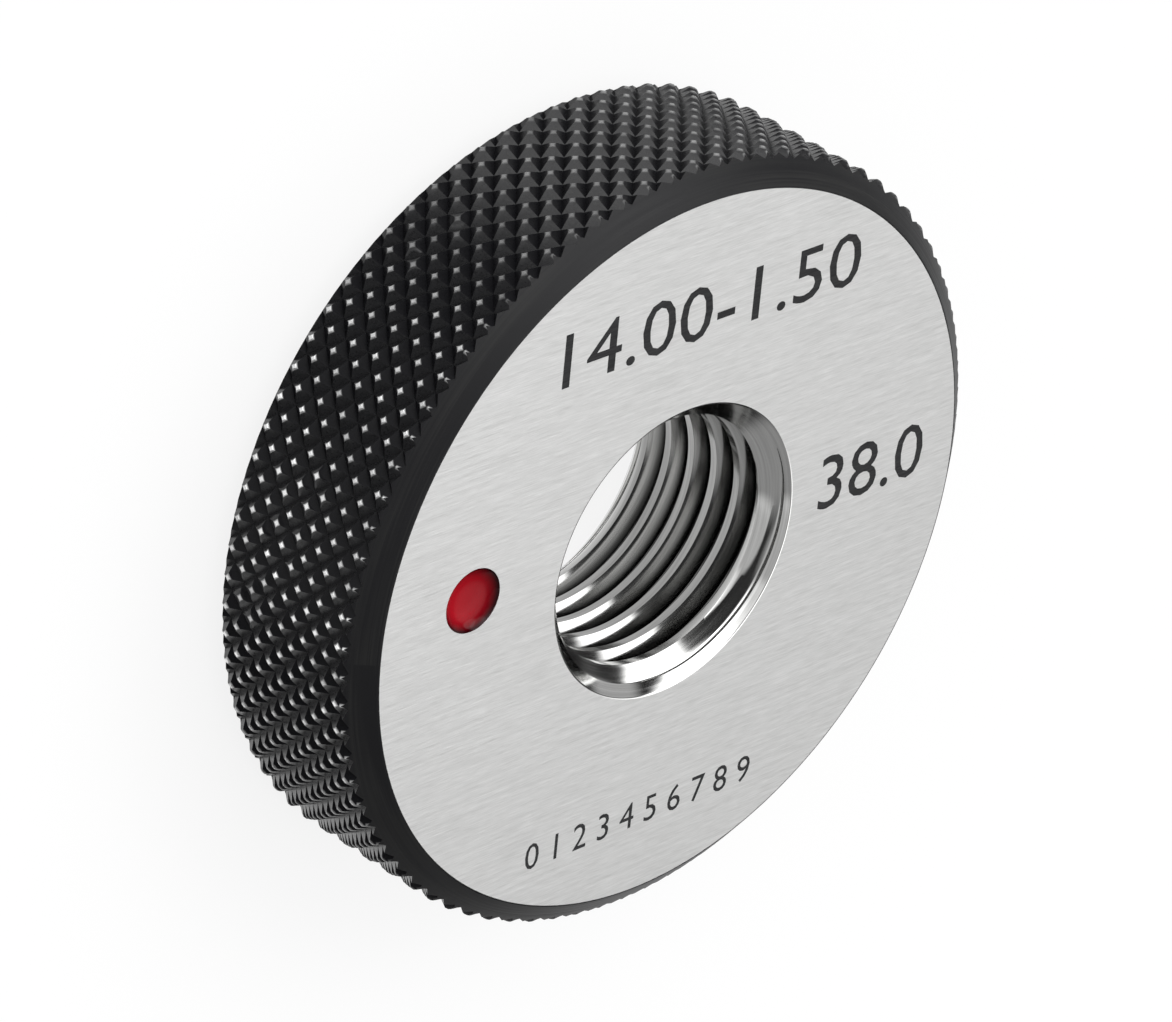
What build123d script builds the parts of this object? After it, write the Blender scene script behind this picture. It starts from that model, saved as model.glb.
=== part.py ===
from build123d import *
import math
import os

# Thread ring gauge for an M14 x 1.5 screw thread: a turned steel ring with a knurled rim.
#
# Frame: millimetres. The ring lies on its back face in the plane Z = 0, and +Z is the axis of
# the bore, out of the marked front face. +X is the reading direction of the front face, so the
# red mark is on the -X side of the bore.

# Ring blank
OUTER_DIAMETER = 38.0  # over the tips of the knurl
RING_WIDTH = 10.0  # back face to front face
RIM_CHAMFER_RADIAL = 1.4  # both edges of the rim, measured inwards
RIM_CHAMFER_AXIAL = 1.15  # both edges of the rim, measured along the axis

# Thread of the bore, in its true profile, simplified to rings without their helix angle
THREAD_DIAMETER = 14.0  # nominal size of the screw that is gauged, at the root of the groove
THREAD_PITCH = 1.5
FLANK_ANGLE = 30.0  # each flank of the groove, from square to the axis
CREST_DROP_PER_PITCH = 5 / 8 * math.cos(math.radians(30))  # ISO metric profile, nut side
ROOT_FLAT_PER_PITCH = 1 / 8
GROOVE_OVERCUT = 0.15  # the groove's cutter reaches this far inside the crest
MOUTH_DIAMETER = 14.45  # countersink at each face
MOUTH_DEPTH = 1.1

# Diamond knurl: two families of V grooves that cross at equal and opposite angles
KNURL_PITCH = 1.03  # between neighbouring grooves of one family, square to them
KNURL_ANGLE = 45.0  # of the grooves, from the axis
KNURL_DEPTH = 0.4

# Red mark: lacquer that lines a shallow blind recess of the front face like a dish
MARK_DIRECTION = 173.0  # degrees from +X
MARK_DIAMETER = 3.15
RECESS_DEPTH = 0.6
LACQUER_THICKNESS = 0.2  # at the middle of the mark
LACQUER_FILLET = 0.36  # where the lacquer climbs the recess wall
LACQUER_RIM_DROP = 0.02  # from the front face down to the lacquer's edge
LACQUER_CLEARANCE = 0.02  # radial, between the lacquer and the recess wall

# Sizes that follow
tip_radius = OUTER_DIAMETER / 2
root_radius = tip_radius - KNURL_DEPTH
face_radius = tip_radius - RIM_CHAMFER_RADIAL
mouth_radius = MOUTH_DIAMETER / 2
thread_radius = THREAD_DIAMETER / 2
crest_radius = thread_radius - CREST_DROP_PER_PITCH * THREAD_PITCH
mark_distance = (mouth_radius + face_radius) / 2  # midway over the flat of the face
mark_centre = Vector(mark_distance, 0, RING_WIDTH).rotate(Axis.Z, MARK_DIRECTION)

# Knurl grid, with a whole number of diamonds round the rim
diamond_width_wanted = KNURL_PITCH / math.cos(math.radians(KNURL_ANGLE))
diamonds_round = round(math.pi * OUTER_DIAMETER / diamond_width_wanted)
half_diamond_angle = math.pi / diamonds_round
half_diamond_height = KNURL_PITCH / math.sin(math.radians(KNURL_ANGLE)) / 2
rows_each_side = math.ceil(RING_WIDTH / 2 / half_diamond_height)


def knurl_point(column, row):
    """Grid point of the knurl: a pyramid's tip where column + row is even, else a root."""
    radius = tip_radius if (column + row) % 2 == 0 else root_radius
    angle = column * half_diamond_angle
    height = RING_WIDTH / 2 + row * half_diamond_height
    return Vector(radius * math.cos(angle), radius * math.sin(angle), height)


def knurl_facets(column, row):
    """The flat facets between two neighbouring columns and two neighbouring rows."""
    near_low = knurl_point(column, row)
    far_low = knurl_point(column + 1, row)
    far_high = knurl_point(column + 1, row + 1)
    near_high = knurl_point(column, row + 1)
    if (column + row) % 2 == 0:
        corners = [(near_low, far_low, near_high), (far_low, far_high, near_high)]
    else:
        corners = [(near_low, far_low, far_high), (near_low, far_high, near_high)]
    return [Face(Wire.make_polygon(triangle)) for triangle in corners]


def knurled_bar():
    """Round bar with the diamond knurl over all of its length, a little longer than the ring."""
    columns = range(2 * diamonds_round)
    facets = []
    for row in range(-rows_each_side, rows_each_side):
        for column in columns:
            facets += knurl_facets(column, row)
    for row in (-rows_each_side, rows_each_side):
        facets.append(Face(Wire.make_polygon([knurl_point(column, row) for column in columns])))
    return Solid(Shell(facets))


def turned_envelope():
    """What turning leaves of the bar: both faces, the rim chamfers and the countersunk bore."""
    overshoot = KNURL_DEPTH  # carries the chamfer cones clear of the knurl's tips
    beyond_tip = tip_radius + overshoot
    chamfer_end = RIM_CHAMFER_AXIAL * (1 + overshoot / RIM_CHAMFER_RADIAL)
    section = [
        (crest_radius, MOUTH_DEPTH),
        (mouth_radius, 0),
        (face_radius, 0),
        (beyond_tip, chamfer_end),
        (beyond_tip, RING_WIDTH - chamfer_end),
        (face_radius, RING_WIDTH),
        (mouth_radius, RING_WIDTH),
        (crest_radius, RING_WIDTH - MOUTH_DEPTH),
    ]
    outline = Polyline(*[(radius, 0, height) for radius, height in section], close=True)
    return revolve(make_face(outline), Axis.Z)


def mark_recess():
    """The blind recess that the red mark fills."""
    return Pos(mark_centre) * Cylinder(
        MARK_DIAMETER / 2, RECESS_DEPTH * 2, align=(Align.CENTER, Align.CENTER, Align.CENTER)
    )


def groove_half_width(radius):
    """Half of the thread groove's width, along the axis, at a radius."""
    half_root = ROOT_FLAT_PER_PITCH * THREAD_PITCH / 2
    return half_root + (thread_radius - radius) * math.tan(math.radians(FLANK_ANGLE))


def thread_grooves():
    """Cutters for the thread's grooves, a pitch apart, evenly about the middle of the ring."""
    inner = crest_radius - GROOVE_OVERCUT
    foot = groove_half_width(inner)
    root = groove_half_width(thread_radius)
    outline = [(inner, -foot), (thread_radius, -root), (thread_radius, root), (inner, foot)]
    section = make_face(Polyline(*[(x, 0, z) for x, z in outline], close=True))
    groove = Pos(0, 0, RING_WIDTH / 2) * revolve(section, Axis.Z)
    each_side = math.floor(RING_WIDTH / 2 / THREAD_PITCH)
    places = range(-each_side, each_side + 1)
    return [Pos(0, 0, index * THREAD_PITCH) * groove for index in places]


def ring_body():
    """The knurled bar, turned to the ring's section, recessed for the mark and threaded."""
    return knurled_bar() & (turned_envelope() - [mark_recess(), *thread_grooves()])


def red_mark():
    """Lacquer on the floor of the recess, which climbs its wall nearly to the face."""
    radius = MARK_DIAMETER / 2 - LACQUER_CLEARANCE
    rim_height = RECESS_DEPTH - LACQUER_RIM_DROP
    middle_top = (0, 0, LACQUER_THICKNESS)
    fillet_foot = (radius - LACQUER_FILLET, 0, LACQUER_THICKNESS)
    rim = (radius, 0, rim_height)
    sides = Polyline(rim, (radius, 0, 0), (0, 0, 0), middle_top, fillet_foot)
    climb = TangentArc(fillet_foot, rim, tangent=(1, 0, 0))
    lacquer = revolve(make_face([sides, climb]), Axis.Z)
    return Pos(mark_centre - Vector(0, 0, RECESS_DEPTH)) * lacquer


os.makedirs("parts", exist_ok=True)
export_step(ring_body(), "parts/ring_body.step")
export_step(red_mark(), "parts/red_mark.step")
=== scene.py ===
"""Looks of the thread ring gauge: one steel ring and the red lacquer of its mark.

The shapes are worked out in millimetres and scaled to metres at the end. Lengths in materials,
floor and camera are in metres. +Z is the axis of the bore, and the marked face is the upper one.
"""
import math

import bmesh
import bpy
import numpy as np
from mathutils import Matrix, Vector
from mathutils.geometry import delaunay_2d_cdt


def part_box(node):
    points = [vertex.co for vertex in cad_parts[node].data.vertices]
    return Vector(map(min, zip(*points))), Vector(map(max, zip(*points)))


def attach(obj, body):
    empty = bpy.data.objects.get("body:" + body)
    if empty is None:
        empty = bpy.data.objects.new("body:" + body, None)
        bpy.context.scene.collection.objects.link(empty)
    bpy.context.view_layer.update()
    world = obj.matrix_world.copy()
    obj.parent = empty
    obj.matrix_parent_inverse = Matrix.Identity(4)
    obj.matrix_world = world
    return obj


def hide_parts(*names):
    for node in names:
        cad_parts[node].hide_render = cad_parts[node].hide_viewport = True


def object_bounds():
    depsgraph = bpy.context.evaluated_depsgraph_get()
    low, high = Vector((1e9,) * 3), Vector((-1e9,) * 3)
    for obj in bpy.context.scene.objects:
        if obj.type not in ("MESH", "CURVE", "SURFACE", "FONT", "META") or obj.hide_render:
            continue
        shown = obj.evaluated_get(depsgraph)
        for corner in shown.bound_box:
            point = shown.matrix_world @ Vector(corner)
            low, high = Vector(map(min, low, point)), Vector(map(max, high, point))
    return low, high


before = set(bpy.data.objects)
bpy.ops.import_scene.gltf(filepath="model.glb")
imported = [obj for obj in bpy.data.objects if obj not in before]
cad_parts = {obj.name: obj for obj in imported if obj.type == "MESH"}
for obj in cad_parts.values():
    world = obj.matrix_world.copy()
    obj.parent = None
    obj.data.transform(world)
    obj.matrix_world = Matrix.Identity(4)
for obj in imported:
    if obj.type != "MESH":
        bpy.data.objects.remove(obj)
cad_low, cad_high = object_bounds()

MM = 0.001
SEED = 14
MERGE_DISTANCE = 0.001  # points nearer than this are one point

# Ring, from the frame
ring_low, ring_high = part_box("ring_body")
TIP_RADIUS = (ring_high.x - ring_low.x) / 2 / MM
WIDTH = (ring_high.z - ring_low.z) / MM
CHAMFER_RADIAL = 1.4
CHAMFER_AXIAL = 1.15
FACE_RADIUS = TIP_RADIUS - CHAMFER_RADIAL
EDGE_ROUND = 0.05
ARC_POINTS = 4
RING_SHARP_ANGLE = 24  # degrees above which an edge isn't shaded smooth

# Knurl
DIAMONDS_ROUND = 82
HALF_DIAMOND_ANGLE = math.pi / DIAMONDS_ROUND
HALF_DIAMOND_HEIGHT = 0.728
HALF_ROWS = math.ceil(WIDTH / 2 / HALF_DIAMOND_HEIGHT)
KNURL_DEPTH = 0.4
STAR_REACH = 0.17  # share of the half diamond that the arms of the flat tip take
STAR_POWER = 0.72  # below 1, the flat tip is a four-pointed star
STAR_FADE = (0.15, 0.5)  # shares of the half diamond over which the star turns into flat flanks
TIP_WEAR_AND_SHEEN_FADE = (-0.02, 0.14)  # past STAR_REACH, where a tip's wear and painted highlight start to fade and are gone
KNURL_STEPS = (0.0, 0.15, 0.33, 0.67, 0.85)  # sampling of a half diamond
TIP_UNEVENNESS = 0.035
BRUISED_TIPS = ((56, 6), (74, 8), (75, 5), (79, 9), (81, 5))  # (column, row) of spoilt places
BRUISE_DEPTH = 0.2
BRUISE_SPREAD = (2, 1)  # columns and rows that a bruise reaches on each side
EDGE_SEARCH_STEPS = 30  # halvings that find where the chamfer meets the knurl
EDGE_CLEARANCE = 0.004  # a knurl point this near the chamfer's edge gives way to it

# Thread and its mouths
THREAD_RADIUS = 7.0
THREAD_PITCH = 1.5
CREST_RADIUS = 6.188
ROOT_FLAT = THREAD_PITCH / 8
ROOT_ROUND = 0.09
FLANK_ANGLE = math.radians(30)
CREST_ANGLE = math.radians(-30)  # where the middle of a crest stands at CREST_HEIGHT
CREST_HEIGHT = 7.32
MOUTH_RADIUS = 7.225
MOUTH_DEPTH = 1.1
BORE_SEGMENTS = 240
TAP_CORE = CREST_RADIUS - 0.06  # inside the crests, so that the tap cuts clean through
TAP_SPARE_BELOW = 3  # turns of the tap below the ring
TAP_SPARE_TURNS = 5  # turns of the tap beyond the ring's width, below and above
TUBE_WALL = 2.0

# Red mark, from the frame
mark_low, mark_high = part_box("red_mark")
MARK_X = (mark_low.x + mark_high.x) / 2 / MM
MARK_Y = (mark_low.y + mark_high.y) / 2 / MM
MARK_RADIUS = (mark_high.x - mark_low.x) / 2 / MM
RECESS_GAP = 0.02
RECESS_RADIUS = MARK_RADIUS + RECESS_GAP
RECESS_FLOOR = mark_low.z / MM
LACQUER_RIM = mark_high.z / MM
LACQUER_MIDDLE = 0.17  # thickness at the middle of the mark
LACQUER_DISH = 4.5  # power of the dish's curve, flat in the middle and steep at the edge
LACQUER_RINGS = 19
LACQUER_HUB = 0.1  # share of the radius that the flat middle takes
LACQUER_SHARP_ANGLE = 40
MARK_SEGMENTS = 96

# Marks on the face: text, left end, right end, baseline and height of the figures
MARKINGS = (
    ("14.00-1.50", -8.1, 10.0, 10.7, 2.7),
    ("38.0", 9.0, 15.6, -0.8, 2.75),
    ("0 1 2 3 4 5 6 7 8 9", -7.6, 6.4, -14.1, 1.35),
)
FIGURE_CURVE_STEPS = 3
SHEET_TOLERANCE = 1e-5

# Material slots of the ring's mesh
GROUND, OXIDE_TURNED, OXIDE_KNURL, BORE, ETCHED = range(5)

# Colours of the materials, and where they change
STEEL_GRAIN = ((0.50, 0.50, 0.495), (0.68, 0.68, 0.675))  # in the scratches and between them
FINE_GRAIN_SHARE = 0.6  # the rest of the grain is coarse
OXIDE_BLACK = (0.006, 0.006, 0.007)
OXIDE_TURNING_LINES = (0.015, 0.015, 0.015)
# bare steel of the tips, for their real wear and for their painted highlight
WORN_AND_SHEEN_STEEL = (0.92, 0.92, 0.92)
RIM_SHEEN_X = ((1.0, 0.22), (-0.0165, -0.0105))  # shares of the painted highlight on the tips, and the X of each
RIM_SHEEN_Y = ((0.3, 1.0), (-0.009, -0.003))  # shares of the painted highlight on the tips, and the Y of each
FLANK_GLOSS = (0.06, 0.42)  # specular level of the two families of flanks
BORE_STEEL = (0.76, 0.76, 0.75)
# painted shade of the thread: share of the way from crest to root, and how bright the steel is
# there
BORE_PAINTED_SHADES = ((0.0, 0.55), (0.03, 0.95), (0.4, 0.75), (0.75, 0.22), (1.0, 0.06))
MOUTH_BLEND = 0.0006  # way before the mouth on which the thread's painted shade ends
ETCH_BLACK = ((0.010, 0.010, 0.011), (0.030, 0.030, 0.031))
LACQUER_RED = (0.40, 0.008, 0.016)
# near black of the painted shade on the recess's wall
LACQUER_SHADED_RED = (0.006, 0.0, 0.001)
LACQUER_WALL_SHADING = (0.00004, 0.00036)  # heights over its middle between which painted shade darkens the wall
FLOOR_GREYS = ((0.84, 0.84, 0.84), (0.86, 0.86, 0.86))
BLACK = (0.0, 0.0, 0.0)
WHITE = (1.0, 1.0, 1.0, 1.0)

# Studio. A panel is its direction, the angles where it is full and where it has faded out,
# and its brightness.
FLOOR_SIZE = 2.4
FLOOR_GAP = 0.00005  # the floor lies this far below the ring
FLOOR_WHITENESS = 0.85  # share of pure white in what the camera and mirrors see of the floor
ROOM_LEVEL = 0.03
LIGHT_PANELS = (
    ((0.52, 0.42, 0.745), 12, 20, 3.0),  # over the thread's lower flanks
    ((0.15, 0.74, 0.65), 17, 29, 2.4),  # over the lower mouth
    ((0.44, -0.21, 0.87), 8, 33, 2.35),  # the ground face mirrors this one, off its middle
    ((-0.40, 0.88, 0.20), 25, 48, 2.1),  # low, over the top of the rim
    ((-0.38, 0.52, 0.76), 10, 24, 1.0),
    ((-0.72, -0.12, 0.68), 22, 32, 0.55),  # over the right of the mouth
    ((-0.20, -0.85, 0.48), 20, 40, 0.30),
    ((0.93, 0.28, 0.20), 10, 22, 0.5),
)

# Camera
CAMERA_PLACE = Vector((-0.218105, 0.169520, 0.218688))
CAMERA_AZIMUTH = math.radians(-127.958)
CAMERA_ELEVATION = math.radians(37.787)
CAMERA_ROLL = math.radians(-121.104)
CAMERA_LENS = 238.32
SENSOR_WIDTH = 36
CLIP_START, CLIP_END = 0.01, 10

random = np.random.default_rng(SEED)


# ---------------------------------------------------------------- mesh helpers
class Shell:
    """Collects points and faces, in millimetres, with a material number for each face."""

    def __init__(self):
        self.points = []
        self.faces = []
        self.materials = []

    def add_points(self, points):
        first = len(self.points)
        self.points.extend(tuple(float(c) for c in point) for point in points)
        return list(range(first, len(self.points)))

    def add_face(self, corners, material=0):
        self.faces.append(tuple(int(c) for c in corners))
        self.materials.append(material)

    def bridge(self, first, second, material=0):
        """Quads between two closed rings of as many points, counted anticlockwise from above.

        The normal is to the right of the way from first to second, in the section where the
        radius grows to the right and Z grows upwards.
        """
        for i in range(len(first)):
            j = (i + 1) % len(first)
            self.add_face((first[i], first[j], second[j], second[i]), material)

    def mesh(self, name):
        mesh = bpy.data.meshes.new(name)
        mesh.from_pydata(self.points, [], self.faces)
        mesh.polygons.foreach_set("material_index", self.materials)
        mesh.update()
        return mesh


def ring_points(radius, height, angles):
    """Points round Z. The radius and the height may be one for each angle."""
    radius = np.broadcast_to(radius, angles.shape)
    height = np.broadcast_to(height, angles.shape)
    return np.stack([radius * np.cos(angles), radius * np.sin(angles), height], axis=1)


def even_angles(count):
    return np.arange(count) * 2 * math.pi / count


def smoothstep(value, low, high):
    t = np.clip((value - low) / (high - low), 0, 1)
    return t * t * (3 - 2 * t)


def rounded_corner(before, corner, after, reach=EDGE_ROUND, count=ARC_POINTS):
    """Points of a curve that rounds a corner of a section. Points are (radius, height)."""
    before, corner, after = map(np.array, (before, corner, after))
    start = corner + (before - corner) / np.linalg.norm(before - corner) * reach
    end = corner + (after - corner) / np.linalg.norm(after - corner) * reach
    t = np.linspace(0, 1, count)[:, None]
    return [tuple(p) for p in (1 - t) ** 2 * start + 2 * t * (1 - t) * corner + t**2 * end]


def link(name, data):
    obj = bpy.data.objects.new(name, data)
    bpy.context.scene.collection.objects.link(obj)
    return obj


# ---------------------------------------------------------------- rim
def uneven_tips():
    """How far each tip of the knurl lies below the full radius, by its column and row."""
    drop = random.uniform(0, TIP_UNEVENNESS, (2 * DIAMONDS_ROUND, 2 * HALF_ROWS + 3))
    columns, rows = BRUISE_SPREAD
    for column, row in BRUISED_TIPS:
        near = slice(column - columns, column + columns + 1), slice(row - rows, row + rows + 1)
        drop[near] += random.uniform(0.0, BRUISE_DEPTH, (2 * columns + 1, 2 * rows + 1))
    return drop


tip_drop = uneven_tips()


def knurl_cell(angles, heights):
    """Nearest tip, counted along both families of grooves, and how far each point is off it."""
    across = angles / HALF_DIAMOND_ANGLE
    along = (heights - WIDTH / 2) / HALF_DIAMOND_HEIGHT
    tip_a = np.round((across + along) / 2)
    tip_b = np.round((across - along) / 2)
    return tip_a, tip_b, (across + along) / 2 - tip_a, (across - along) / 2 - tip_b


def knurl_field(angles, heights):
    """Radius of the knurled rim, and how far each point lies on a flat tip, from 0 to 1."""
    tip_a, tip_b, off_a, off_b = knurl_cell(angles, heights)
    x = np.abs(off_a + off_b)
    y = np.abs(off_a - off_b)
    plain = x + y
    star = (x**STAR_POWER + y**STAR_POWER) ** (1 / STAR_POWER)
    fall = star + (plain - star) * smoothstep(plain, *STAR_FADE)
    depth = KNURL_DEPTH * np.maximum(fall - STAR_REACH, 0) / (1 - STAR_REACH)
    column = (tip_a + tip_b).astype(int) % (2 * DIAMONDS_ROUND)
    row = (tip_a - tip_b).astype(int) + HALF_ROWS + 1
    depth = np.maximum(depth, tip_drop[column, row])
    fade_start, fade_end = (STAR_REACH + past for past in TIP_WEAR_AND_SHEEN_FADE)
    return TIP_RADIUS - depth, 1 - smoothstep(fall, fade_start, fade_end)


def facet_family(points):
    """1 on the flanks of one family of grooves and 0 on the other's, for points on the knurl."""
    angles = np.arctan2(points[:, 1], points[:, 0])
    _, _, off_a, off_b = knurl_cell(angles, points[:, 2])
    return (np.abs(off_a) > np.abs(off_b)).astype(float)


def cone_radius(depth_from_face):
    """Radius of the rim's chamfer at a depth below either face."""
    return FACE_RADIUS + depth_from_face * CHAMFER_RADIAL / CHAMFER_AXIAL


def chamfer_reach(angles, upper):
    """Depth below a face at which the chamfer meets the knurl, at each angle."""
    surely_inside, surely_outside = CHAMFER_AXIAL / 3, CHAMFER_AXIAL * 1.05
    low = np.full(angles.shape, surely_inside)
    high = np.full(angles.shape, surely_outside)
    for _ in range(EDGE_SEARCH_STEPS):
        middle = (low + high) / 2
        heights = WIDTH - middle if upper else middle
        outside = cone_radius(middle) > knurl_field(angles, heights)[0]
        high = np.where(outside, middle, high)
        low = np.where(outside, low, middle)
    return (low + high) / 2


def add_knurl(shell, angles, low_edge, high_edge, low_reach, high_reach):
    """The knurl between the two scalloped edges that the chamfers give it.

    Returns how far each of its points lies on a flat tip, by the point's number.
    """
    steps = [k + f for k in range(-HALF_ROWS, HALF_ROWS) for f in KNURL_STEPS]
    levels = WIDTH / 2 + np.array(steps) * HALF_DIAMOND_HEIGHT
    index = np.empty((len(angles), len(levels)), int)
    flats = np.zeros((len(angles), len(levels)))
    for j, level in enumerate(levels):
        radius, flat = knurl_field(angles, np.full(angles.shape, level))
        ring = np.array(shell.add_points(ring_points(radius, level, angles)))
        ring = np.where(level < low_reach + EDGE_CLEARANCE, low_edge, ring)
        index[:, j] = np.where(level > WIDTH - high_reach - EDGE_CLEARANCE, high_edge, ring)
        flats[:, j] = flat
    for i in range(len(angles)):
        k = (i + 1) % len(angles)
        for j in range(len(levels) - 1):
            a, b, c, d = index[i, j], index[k, j], index[k, j + 1], index[i, j + 1]
            # the diagonal runs along the groove, which passes between the tips of the cell
            cell = i // len(KNURL_STEPS) + j // len(KNURL_STEPS) - HALF_ROWS
            halves = ((a, b, c), (a, c, d)) if cell % 2 else ((a, b, d), (b, c, d))
            for triangle in halves:
                if len(set(triangle)) == 3:
                    shell.add_face(triangle, OXIDE_KNURL)
    return dict(zip(index.ravel().tolist(), flats.ravel().tolist()))


def add_chamfers(shell, angles, low_edge, high_edge):
    """Cones between the knurl and the faces. Returns the rings where the faces start."""
    face_rings = []
    cone_point = (FACE_RADIUS + CHAMFER_RADIAL, CHAMFER_AXIAL)
    arc = rounded_corner((0, 0), (FACE_RADIUS, 0), cone_point)
    for upper in (False, True):
        rings = []
        for radius, depth in arc:
            height = WIDTH - depth if upper else depth
            rings.append(shell.add_points(ring_points(radius, height, angles)))
        face_rings.append(rings[0])
        rings.append(high_edge if upper else low_edge)
        for inner, outer in zip(rings, rings[1:]):
            if upper:
                shell.bridge(outer, inner, OXIDE_TURNED)
            else:
                shell.bridge(inner, outer, OXIDE_TURNED)
    return face_rings


def add_rim(shell):
    """Knurl and chamfers. Returns what add_knurl and add_chamfers return."""
    steps = [k + f for k in range(2 * DIAMONDS_ROUND) for f in KNURL_STEPS]
    angles = np.array(steps) * HALF_DIAMOND_ANGLE
    low_reach = chamfer_reach(angles, False)
    high_reach = chamfer_reach(angles, True)
    low_edge = shell.add_points(ring_points(cone_radius(low_reach), low_reach, angles))
    high_edge = shell.add_points(
        ring_points(cone_radius(high_reach), WIDTH - high_reach, angles)
    )
    flats = add_knurl(shell, angles, low_edge, high_edge, low_reach, high_reach)
    return flats, add_chamfers(shell, angles, low_edge, high_edge)


# ---------------------------------------------------------------- bore
def mouth_section():
    """Section of the lower mouth, from the crest out to the mouth's edge on the face."""
    crest = (CREST_RADIUS, MOUTH_DEPTH)
    return [crest] + rounded_corner(crest, (MOUTH_RADIUS, 0), (FACE_RADIUS, 0))


def plain_tube():
    """Closed tube round the unthreaded bore. Only its inside is kept in the end."""
    lower = mouth_section()
    upper = [(radius, WIDTH - height) for radius, height in reversed(lower)]
    outside = MOUTH_RADIUS + TUBE_WALL
    section = upper + lower + [(outside, 0), (outside, WIDTH)]
    angles = even_angles(BORE_SEGMENTS)
    shell = Shell()
    rings = [shell.add_points(ring_points(radius, z, angles)) for radius, z in section]
    for band, ring in enumerate(rings):
        shell.bridge(ring, rings[(band + 1) % len(rings)])
    return shell


def tap_section():
    """One pitch of the tap's section, as (way along the axis, radius)."""
    middle = THREAD_PITCH / 2
    corner = (middle - ROOT_FLAT / 2, THREAD_RADIUS)
    foot = (corner[0] - (THREAD_RADIUS - TAP_CORE) * math.tan(FLANK_ANGLE), TAP_CORE)
    arc = rounded_corner(foot, corner, (middle, THREAD_RADIUS), ROOT_ROUND)
    flank = [tuple(np.array(foot) + (np.array(arc[0]) - foot) * t) for t in (0, 1 / 3, 2 / 3)]
    left = flank + arc
    right = [(THREAD_PITCH - along, radius) for along, radius in reversed(left)]
    return [(0.0, TAP_CORE)] + left + right


def thread_tap():
    """Closed screw that cuts the thread: a helical surface with a fan at each end."""
    section = tap_section()
    per_turn = len(section)
    turns = math.ceil(WIDTH / THREAD_PITCH) + TAP_SPARE_TURNS
    start = (CREST_HEIGHT - THREAD_PITCH * CREST_ANGLE / (2 * math.pi)) % THREAD_PITCH
    start -= TAP_SPARE_BELOW * THREAD_PITCH
    angles = even_angles(BORE_SEGMENTS)
    shell = Shell()
    rows = []
    for row in range(turns * per_turn + 1):
        along, radius = section[row % per_turn]
        height = start + row // per_turn * THREAD_PITCH + along
        climb = THREAD_PITCH * angles / (2 * math.pi)
        rows.append(shell.add_points(ring_points(radius, height + climb, angles)))
    top = len(rows) - 1
    for row in range(top):
        low, high = rows[row], rows[row + 1]
        for i in range(BORE_SEGMENTS - 1):
            shell.add_face((low[i], low[i + 1], high[i + 1], high[i]))
        if row + 1 + per_turn <= top:
            seam = rows[row + per_turn][0], rows[row + 1 + per_turn][0]
            shell.add_face((low[-1], seam[0], seam[1], high[-1]))
    low_loop = rows[0] + [rows[row][0] for row in range(per_turn, 0, -1)]
    high_loop = rows[top] + [rows[row][-1] for row in range(top - 1, top - per_turn - 1, -1)]
    low_hub, high_hub = shell.add_points(
        [(0, 0, start + THREAD_PITCH / 2), (0, 0, start + (turns + 0.5) * THREAD_PITCH)]
    )
    for i in range(len(low_loop)):
        shell.add_face((low_loop[i], low_hub, low_loop[(i + 1) % len(low_loop)]))
    for i in range(len(high_loop)):
        shell.add_face((high_loop[i], high_loop[(i + 1) % len(high_loop)], high_hub))
    return shell


def threaded_bore():
    """Open mesh of the bore's wall: crests, thread and both mouths."""
    tube = link("tube", plain_tube().mesh("tube"))
    tap = link("tap", thread_tap().mesh("tap"))
    cut = tube.modifiers.new("thread", "BOOLEAN")
    cut.operation = "DIFFERENCE"
    cut.solver = "EXACT"
    cut.object = tap
    graph = bpy.context.evaluated_depsgraph_get()
    wall = bpy.data.meshes.new_from_object(tube.evaluated_get(graph))
    for obj in (tube, tap):
        bpy.data.objects.remove(obj)
    edge_radius = mouth_section()[-1][0] - MERGE_DISTANCE
    shell = Shell()
    shell.add_points([v.co for v in wall.vertices])
    for polygon in wall.polygons:
        corners = list(polygon.vertices)
        if min(math.hypot(*wall.vertices[v].co.xy) for v in corners) < edge_radius:
            shell.add_face(corners, BORE)
    bpy.data.meshes.remove(wall)
    return shell


# ---------------------------------------------------------------- faces
def marking_triangles(text, left, right, baseline, height):
    """Filled figures as triangles, each three (x, y) points on the face."""
    curve = bpy.data.curves.new("marking", "FONT")
    curve.body = text
    curve.resolution_u = FIGURE_CURVE_STEPS
    obj = link("marking", curve)
    graph = bpy.context.evaluated_depsgraph_get()
    mesh = bpy.data.meshes.new_from_object(obj.evaluated_get(graph))
    bpy.data.objects.remove(obj)
    points = np.array([v.co[:2] for v in mesh.vertices])
    mesh.calc_loop_triangles()
    triangles = np.array([tuple(t.vertices) for t in mesh.loop_triangles])
    bpy.data.meshes.remove(mesh)
    low = points.min(axis=0)
    high = points.max(axis=0)
    scale_x = (right - left) / (high[0] - low[0])
    scale_y = height / high[1]
    points = (points - (low[0], 0)) * (scale_x, scale_y) + (left, baseline)
    return points[triangles]


def twice_area(a, b, c):
    """Signed double area of triangles of (x, y) points."""
    return (b[..., 0] - a[..., 0]) * (c[..., 1] - a[..., 1]) - (
        (b[..., 1] - a[..., 1]) * (c[..., 0] - a[..., 0])
    )


def inside_any(point, triangles):
    a, b, c = triangles[:, 0], triangles[:, 1], triangles[:, 2]
    sides = np.stack([twice_area(a, b, point), twice_area(b, c, point), twice_area(c, a, point)])
    return bool(np.any(np.all(sides > 0, axis=0) | np.all(sides < 0, axis=0)))


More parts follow.
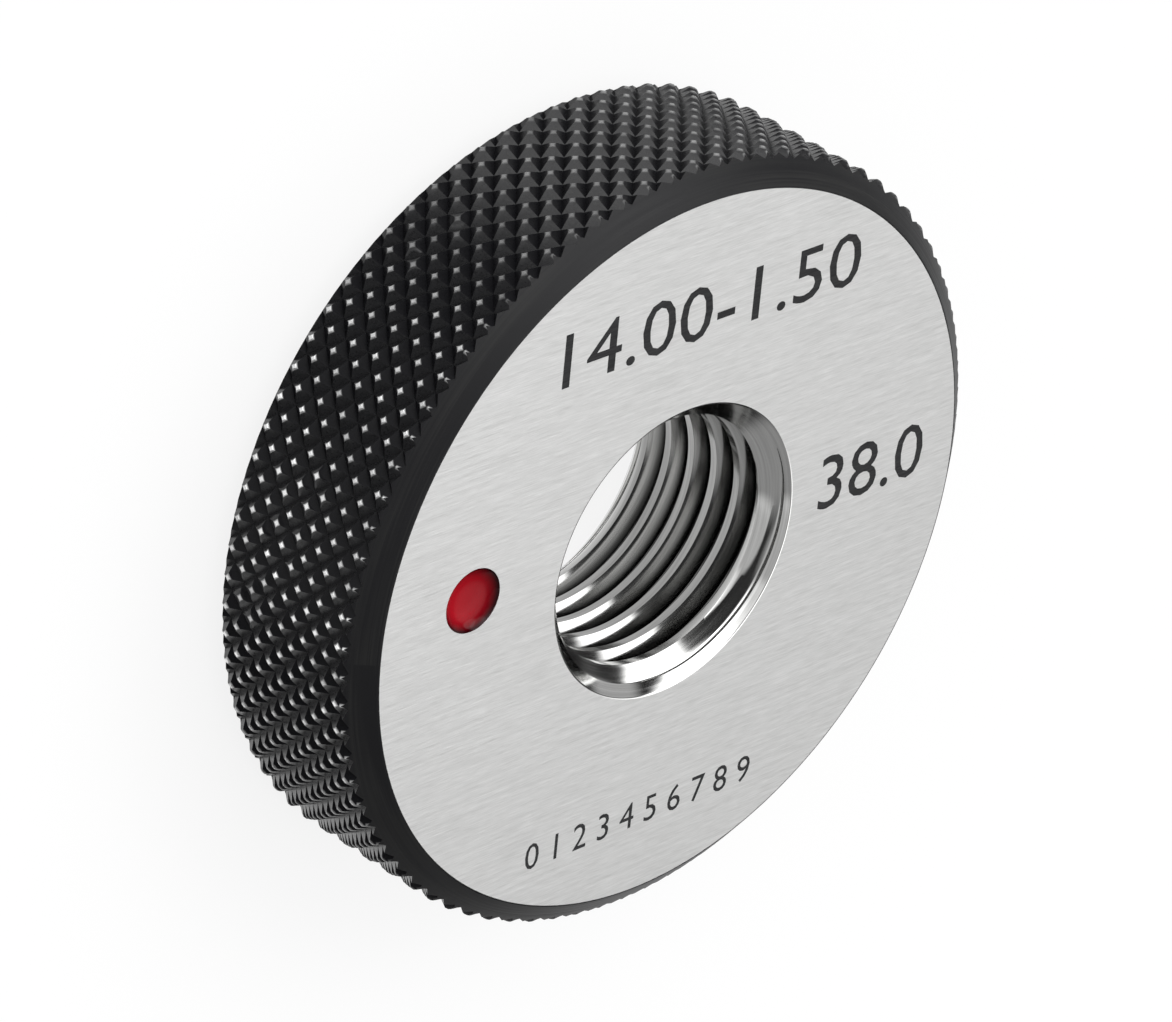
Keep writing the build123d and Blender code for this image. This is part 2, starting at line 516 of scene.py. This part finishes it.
def add_face_sheet(shell, height, outer, mouth, recess, markings):
    """Flat sheet between the outer ring and the mouth's ring, with a hole and filled figures."""
    rings = [ring for ring in (outer, mouth, recess) if ring]
    source = [index for ring in rings for index in ring]
    flat = [Vector(shell.points[index][:2]) for index in source]
    edges = []
    first = 0
    for ring in rings:
        count = len(ring)
        edges += [(first + i, first + (i + 1) % count) for i in range(count)]
        first += count
    figures = np.concatenate([marking_triangles(*text) for text in markings] or [[]])
    for triangle in figures:
        corner = len(flat)
        flat += [Vector(point) for point in triangle]
        edges += [(corner, corner + 1), (corner + 1, corner + 2), (corner + 2, corner)]
    found = delaunay_2d_cdt(flat, edges, [], 0, SHEET_TOLERANCE, True)
    points, triangles, from_points = found[0], found[2], found[3]
    index = []
    for point, origin in zip(points, from_points):
        known = [source[v] for v in origin if v < len(source)]
        index.append(known[0] if known else shell.add_points([(*point, height)])[0])
    centre = Vector((MARK_X, MARK_Y))
    mouth_radius = math.hypot(*shell.points[mouth[0]][:2])
    for triangle in triangles:
        middle = sum((points[v] for v in triangle), Vector((0, 0))) / 3
        if middle.length < mouth_radius or (recess and (middle - centre).length < RECESS_RADIUS):
            continue
        corners = [index[v] for v in triangle]
        if height < WIDTH / 2:
            corners.reverse()
        etched = len(figures) > 0 and inside_any(np.array(middle), figures)
        shell.add_face(corners, ETCHED if etched else GROUND)


def add_recess(shell):
    """Blind hole of the red mark. Returns the ring at its edge."""
    angles = even_angles(MARK_SEGMENTS)
    centre = np.array([MARK_X, MARK_Y, 0])
    rings = []
    for radius, height in ((RECESS_RADIUS, WIDTH), (RECESS_RADIUS, RECESS_FLOOR)):
        rings.append(shell.add_points(ring_points(radius, height, angles) + centre))
    shell.bridge(rings[0], rings[1], GROUND)
    shell.add_face(rings[1], GROUND)
    return rings[0]


def finish_mesh(obj, materials, sharp_angle):
    """Scales a mesh from millimetres, adds materials and shades it smooth with sharp edges."""
    mesh = obj.data
    mesh.transform(Matrix.Scale(MM, 4))
    for material in materials:
        mesh.materials.append(material)
    mesh.shade_smooth()
    mesh.set_sharp_from_angle(angle=math.radians(sharp_angle))
    mesh.update()


def sharpen_border(mesh, kinds):
    """Makes the edges sharp round the faces whose material is one of kinds."""
    of_face = np.zeros(len(mesh.polygons), int)
    mesh.polygons.foreach_get("material_index", of_face)
    edge_of_loop = np.zeros(len(mesh.loops), int)
    mesh.loops.foreach_get("edge_index", edge_of_loop)
    sides = np.zeros(len(mesh.polygons), int)
    mesh.polygons.foreach_get("loop_total", sides)
    inside = np.repeat(np.isin(of_face, kinds), sides)
    count_in = np.bincount(edge_of_loop, weights=inside, minlength=len(mesh.edges))
    count_all = np.bincount(edge_of_loop, minlength=len(mesh.edges))
    for edge in np.flatnonzero((count_in > 0) & (count_in < count_all)):
        mesh.edges[int(edge)].use_edge_sharp = True


def weld(mesh):
    """Drops points that no face uses, and joins points that lie on one another."""
    work = bmesh.new()
    work.from_mesh(mesh)
    loose = [v for v in work.verts if not v.link_faces]
    bmesh.ops.delete(work, geom=loose, context="VERTS")
    bmesh.ops.remove_doubles(work, verts=work.verts, dist=MERGE_DISTANCE)
    work.to_mesh(mesh)
    work.free()


def ring_mesh():
    """The whole ring as one closed mesh, in millimetres."""
    shell = Shell()
    flats, (low_ring, high_ring) = add_rim(shell)
    bore = threaded_bore()
    offset = len(shell.points)
    shell.add_points(bore.points)
    for corners in bore.faces:
        shell.add_face([offset + v for v in corners], BORE)
    angles = even_angles(BORE_SEGMENTS)
    radius = mouth_section()[-1][0]
    recess = add_recess(shell)
    for height, outer, hole, markings in (
        (0.0, low_ring, None, ()),
        (WIDTH, high_ring, recess, MARKINGS),
    ):
        mouth = shell.add_points(ring_points(radius, height, angles))
        add_face_sheet(shell, height, outer, mouth, hole, markings)
    mesh = shell.mesh("ring")
    wear_and_sheen = mesh.attributes.new("tip_flat", "FLOAT", "POINT")
    wear_and_sheen.data.foreach_set("value", [flats.get(i, 0.0) for i in range(len(shell.points))])
    weld(mesh)
    middles = np.array([polygon.center for polygon in mesh.polygons])
    family = mesh.attributes.new("facet_family", "FLOAT", "FACE")
    family.data.foreach_set("value", facet_family(middles))
    return mesh


def lacquer_mesh():
    """Lacquer that lines the recess like a dish, closed all round."""
    angles = even_angles(MARK_SEGMENTS)
    centre = np.array([MARK_X, MARK_Y, RECESS_FLOOR])
    climb = LACQUER_RIM - RECESS_FLOOR - LACQUER_MIDDLE
    section = [(MARK_RADIUS, 0.0)]
    for share in np.linspace(1, LACQUER_HUB, LACQUER_RINGS):
        section.append((MARK_RADIUS * share, LACQUER_MIDDLE + climb * share**LACQUER_DISH))
    shell = Shell()
    rings = [shell.add_points(ring_points(radius, z, angles) + centre) for radius, z in section]
    for lower, upper in zip(rings, rings[1:]):
        shell.bridge(lower, upper)
    shell.add_face(rings[0][::-1])
    shell.add_face(rings[-1])
    return shell.mesh("lacquer")


# ---------------------------------------------------------------- materials
class Look:
    """A material's nodes, with short ways to add and join them."""

    def __init__(self, name):
        self.material = bpy.data.materials.new(name)
        self.material.use_nodes = True
        self.nodes = self.material.node_tree.nodes
        self.links = self.material.node_tree.links
        self.surface = self.nodes["Principled BSDF"]

    def add(self, kind, inputs=None, **settings):
        node = self.nodes.new("ShaderNode" + kind)
        for key, value in settings.items():
            setattr(node, key, value)
        for key, value in (inputs or {}).items():
            self.put(node, key, value)
        return node

    def put(self, node, key, value):
        if isinstance(value, bpy.types.NodeSocket):
            self.links.new(value, node.inputs[key])
        else:
            node.inputs[key].default_value = value

    def math(self, operation, *values):
        node = self.add("Math", dict(enumerate(values)), operation=operation)
        return node.outputs[0]

    def coordinates(self):
        return self.add("TexCoord").outputs["Object"]

    def noise(self, vector, scale, detail=2.0, roughness=0.5):
        """Noise from 0 to 1. The scale has one number for each axis of the vector."""
        stretched = self.add("Mapping", {"Vector": vector, "Scale": scale}).outputs[0]
        settings = {"Vector": stretched, "Scale": 1.0, "Detail": detail, "Roughness": roughness}
        return self.add("TexNoise", settings).outputs["Fac"]

    def scaled(self, value, to, over=(0.0, 1.0)):
        """A number that runs from to[0] to to[1] while the value runs from over[0] to over[1]."""
        inputs = {0: value, 1: over[0], 2: over[1], 3: to[0], 4: to[1]}
        return self.add("MapRange", inputs).outputs[0]

    def ramp(self, value, *stops):
        node = self.add("ValToRGB", {"Fac": value})
        elements = node.color_ramp.elements
        while len(elements) < len(stops):
            elements.new(1.0)
        for element, (place, colour) in zip(elements, stops):
            element.position = place
            element.color = (*colour, 1.0)
        return node.outputs["Color"]

    def bump(self, height, distance, strength=1.0):
        inputs = {"Height": height, "Distance": distance, "Strength": strength}
        return self.add("Bump", inputs).outputs["Normal"]

    def round_axis(self, vector):
        """(angle, distance from the axis, height) of a point, for marks of turning."""
        parts = self.add("SeparateXYZ", {0: vector}).outputs
        flat = self.add("CombineXYZ", {"X": parts["X"], "Y": parts["Y"]}).outputs[0]
        distance = self.add("VectorMath", {0: flat}, operation="LENGTH").outputs["Value"]
        angle = self.math("ARCTAN2", parts["Y"], parts["X"])
        joined = {"X": angle, "Y": distance, "Z": parts["Z"]}
        return self.add("CombineXYZ", joined).outputs[0]

    def set(self, **inputs):
        for key, value in inputs.items():
            self.put(self.surface, key.replace("_", " "), value)


def ground_steel():
    """Flat ground face: fine straight grain along X."""
    look = Look("ground_steel")
    place = look.coordinates()
    fine = look.noise(place, (1100, 18000, 18000), detail=3.0, roughness=0.6)
    coarse = look.noise(place, (300, 5000, 5000))
    cloud = look.noise(place, (60, 90, 60))
    fine_part = look.math("MULTIPLY", fine, FINE_GRAIN_SHARE)
    coarse_part = look.math("MULTIPLY", coarse, 1 - FINE_GRAIN_SHARE)
    grain = look.math("ADD", fine_part, coarse_part)
    colour = look.ramp(grain, (0.3, STEEL_GRAIN[0]), (0.7, STEEL_GRAIN[1]))
    look.set(
        Base_Color=colour,
        Metallic=1.0,
        Roughness=look.scaled(cloud, to=(0.34, 0.44), over=(0.3, 0.7)),
        Normal=look.bump(grain, distance=0.000012, strength=0.5),
    )
    return look.material


def oxide_turned():
    """Black oxide on the turned chamfers."""
    look = Look("oxide_turned")
    place = look.round_axis(look.coordinates())
    lines = look.noise(place, (1.5, 14000, 14000), detail=3.0, roughness=0.6)
    patches = look.noise(place, (2.2, 700, 700), detail=3.0)
    bright_share = look.math("MULTIPLY", lines, patches)
    colour = look.ramp(bright_share, (0.2, OXIDE_BLACK), (0.42, OXIDE_TURNING_LINES))
    look.set(
        Base_Color=colour,
        Roughness=look.scaled(lines, to=(0.36, 0.5), over=(0.3, 0.7)),
        Specular_IOR_Level=0.2,
        Normal=look.bump(lines, distance=0.000008, strength=0.5),
    )
    return look.material


def oxide_knurl():
    """Black oxide on the knurl. The flat tips are bare steel, worn in patches, with a painted
    highlight that is strongest on the -X side.
    """
    look = Look("oxide_knurl")
    place = look.coordinates()
    grain = look.noise(place, (9000, 9000, 9000), detail=3.0)
    patches = look.noise(place, (260, 260, 260))
    flat = look.add("Attribute", attribute_name="tip_flat").outputs["Fac"]
    family = look.add("Attribute", attribute_name="facet_family").outputs["Fac"]
    parts = look.add("SeparateXYZ", {0: place}).outputs
    # painted highlight: the tips are brightest on the -X side and dimmer towards -Y
    sheen_side = look.math(
        "MULTIPLY",
        look.scaled(parts["X"], *RIM_SHEEN_X),
        look.scaled(parts["Y"], *RIM_SHEEN_Y),
    )
    wear_and_sheen = look.math("MULTIPLY", sheen_side, look.scaled(patches, to=(0.45, 1.0), over=(0.35, 0.6)))
    bright_share = look.math("MULTIPLY", flat, wear_and_sheen)
    colour = look.ramp(bright_share, (0.0, OXIDE_BLACK), (1.0, WORN_AND_SHEEN_STEEL))
    look.set(
        Base_Color=colour,
        Metallic=bright_share,
        Roughness=look.scaled(grain, to=(0.24, 0.38), over=(0.3, 0.7)),
        Specular_IOR_Level=look.scaled(family, to=FLANK_GLOSS),
        Normal=look.bump(grain, distance=0.000006, strength=0.5),
    )
    return look.material


def bore_steel():
    """Lapped thread with painted shade: mid grey on the crests, bright just beside them and dark
    towards the root. Turned mouths.
    """
    look = Look("bore_steel")
    around = look.round_axis(look.coordinates())
    lines = look.noise(around, (1.0, 7000, 7000))
    parts = look.add("SeparateXYZ", {0: around}).outputs
    crest, root = CREST_RADIUS * MM, THREAD_RADIUS * MM
    sunk = look.scaled(parts["Y"], to=(0.0, 1.0), over=(crest, root))
    # painted shade: the steel darkens with depth into the thread's root
    threaded = look.ramp(sunk, *[(stop, (shade, shade, shade)) for stop, shade in BORE_PAINTED_SHADES])
    off_middle = look.math("ABSOLUTE", look.math("SUBTRACT", parts["Z"], WIDTH / 2 * MM))
    thread_end = (WIDTH / 2 - MOUTH_DEPTH) * MM
    mouth = look.scaled(off_middle, to=(0.0, 1.0), over=(thread_end - MOUTH_BLEND, thread_end))
    shade = look.math("MAXIMUM", threaded, mouth)
    shade = look.math("MULTIPLY", shade, look.scaled(lines, to=(0.72, 1.0), over=(0.25, 0.75)))
    look.set(
        Base_Color=look.ramp(shade, (0.0, BLACK), (1.0, BORE_STEEL)),
        Metallic=1.0,
        Roughness=look.scaled(lines, to=(0.09, 0.13), over=(0.3, 0.7)),
        Normal=look.bump(lines, distance=0.000002, strength=0.3),
    )
    return look.material


def etched_mark():
    """Marks etched black into the ground face."""
    look = Look("etched_mark")
    place = look.coordinates()
    grain = look.noise(place, (900, 9000, 9000), detail=3.0)
    colour = look.ramp(grain, (0.3, ETCH_BLACK[0]), (0.75, ETCH_BLACK[1]))
    look.set(Base_Color=colour, Roughness=0.6, Specular_IOR_Level=0.2)
    return look.material


def red_lacquer():
    """Glossy red lacquer, with painted shade that darkens it up the wall of the recess and
    towards +X.
    """
    look = Look("red_lacquer")
    place = look.coordinates()
    cloud = look.noise(place, (500, 500, 500))
    parts = look.add("SeparateXYZ", {0: place}).outputs
    middle = (RECESS_FLOOR + LACQUER_MIDDLE) * MM
    wall_heights = [middle + height for height in LACQUER_WALL_SHADING]
    # painted shade: darker up the wall of the recess, where the specular level is higher too
    off_wall = look.scaled(parts["Z"], to=(1.0, 0.06), over=wall_heights)
    left, right = (MARK_X - MARK_RADIUS) * MM, (MARK_X + MARK_RADIUS) * MM
    # painted shade: darker towards +X
    painted_side_shade = look.scaled(parts["X"], to=(1.0, 0.5), over=(left, right))
    clouded = look.math("MULTIPLY", painted_side_shade, look.scaled(cloud, to=(0.9, 1.0)))
    share = look.math("MULTIPLY", off_wall, clouded)
    colour = look.ramp(share, (0.0, LACQUER_SHADED_RED), (1.0, LACQUER_RED))
    look.set(
        Base_Color=colour,
        Roughness=0.08,
        Specular_IOR_Level=look.scaled(off_wall, to=(0.15, 0.06)),
        Normal=look.bump(cloud, distance=0.00002, strength=0.3),
    )
    return look.material


def white_floor():
    """Pale floor. The camera and mirrors see it white, apart from the object's soft shadow."""
    look = Look("white_floor")
    cloud = look.noise(look.coordinates(), (4, 4, 4))
    colour = look.ramp(cloud, (0.3, FLOOR_GREYS[0]), (0.7, FLOOR_GREYS[1]))
    look.set(Base_Color=colour, Roughness=0.9, Specular_IOR_Level=0.0)
    path = look.add("LightPath").outputs
    seen = look.math("MAXIMUM", path["Is Camera Ray"], path["Is Glossy Ray"])
    seen = look.math("MAXIMUM", seen, path["Is Transmission Ray"])
    white = look.add("Emission", {"Color": WHITE, "Strength": 1.0}).outputs[0]
    share = look.math("MULTIPLY", seen, FLOOR_WHITENESS)
    mix = look.add("MixShader", {0: share, 1: look.surface.outputs[0], 2: white}).outputs[0]
    look.links.new(mix, look.nodes["Material Output"].inputs["Surface"])
    return look.material


# ---------------------------------------------------------------- studio
def square_floor():
    half = FLOOR_SIZE / 2
    corners = [(-half, -half, 0), (half, -half, 0), (half, half, 0), (-half, half, 0)]
    sheet = link("floor", bpy.data.meshes.new("floor"))
    sheet.data.from_pydata(corners, [], [(0, 1, 2, 3)])
    sheet.data.materials.append(white_floor())
    sheet.location.z = cad_low.z - FLOOR_GAP
    return sheet


def studio_world():
    """Dim room with soft light panels far away, each a round patch of brightness."""
    studio = bpy.data.worlds.new("studio")
    studio.use_nodes = True
    nodes = studio.node_tree.nodes
    links = studio.node_tree.links
    direction = nodes.new("ShaderNodeTexCoord").outputs["Generated"]
    level = ROOM_LEVEL
    for centre, inner, outer, radiance in LIGHT_PANELS:
        towards = nodes.new("ShaderNodeVectorMath")
        towards.operation = "DOT_PRODUCT"
        links.new(direction, towards.inputs[0])
        towards.inputs[1].default_value = Vector(centre).normalized()
        patch = nodes.new("ShaderNodeMapRange")
        patch.interpolation_type = "SMOOTHSTEP"
        links.new(towards.outputs["Value"], patch.inputs["Value"])
        patch.inputs["From Min"].default_value = math.cos(math.radians(outer))
        patch.inputs["From Max"].default_value = math.cos(math.radians(inner))
        patch.inputs["To Max"].default_value = radiance
        total = nodes.new("ShaderNodeMath")
        links.new(patch.outputs[0], total.inputs[0])
        if isinstance(level, float):
            total.inputs[1].default_value = level
        else:
            links.new(level, total.inputs[1])
        level = total.outputs[0]
    links.new(level, nodes["Background"].inputs["Strength"])
    nodes["Background"].inputs["Color"].default_value = WHITE
    return studio


def studio_camera():
    """Camera at its place, turned to its azimuth and elevation and then rolled."""
    back = Vector(
        (
            math.sin(CAMERA_AZIMUTH) * math.cos(CAMERA_ELEVATION),
            -math.cos(CAMERA_AZIMUTH) * math.cos(CAMERA_ELEVATION),
            math.sin(CAMERA_ELEVATION),
        )
    )
    level_right = Vector((0, 0, 1)).cross(back).normalized()
    level_up = back.cross(level_right)
    up = math.cos(CAMERA_ROLL) * level_up + math.sin(CAMERA_ROLL) * level_right
    turn = Matrix((up.cross(back), up, back)).transposed().to_4x4()
    camera = link("camera", bpy.data.cameras.new("camera"))
    camera.data.sensor_width = SENSOR_WIDTH
    camera.data.lens = CAMERA_LENS
    camera.data.clip_start = CLIP_START
    camera.data.clip_end = CLIP_END
    camera.matrix_world = Matrix.Translation(CAMERA_PLACE) @ turn
    return camera


# ---------------------------------------------------------------- scene
ring = link("gauge_ring", ring_mesh())
ring_materials = (ground_steel(), oxide_turned(), oxide_knurl(), bore_steel(), etched_mark())
finish_mesh(ring, ring_materials, RING_SHARP_ANGLE)
sharpen_border(ring.data, (GROUND, ETCHED))
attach(ring, "root")
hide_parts("ring_body")

lacquer = link("red_mark_lacquer", lacquer_mesh())
finish_mesh(lacquer, (red_lacquer(),), LACQUER_SHARP_ANGLE)
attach(lacquer, "root")
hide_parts("red_mark")

floor = square_floor()

bpy.context.scene.world = studio_world()
bpy.context.scene.camera = studio_camera()
bpy.context.scene.view_settings.view_transform = "Standard"
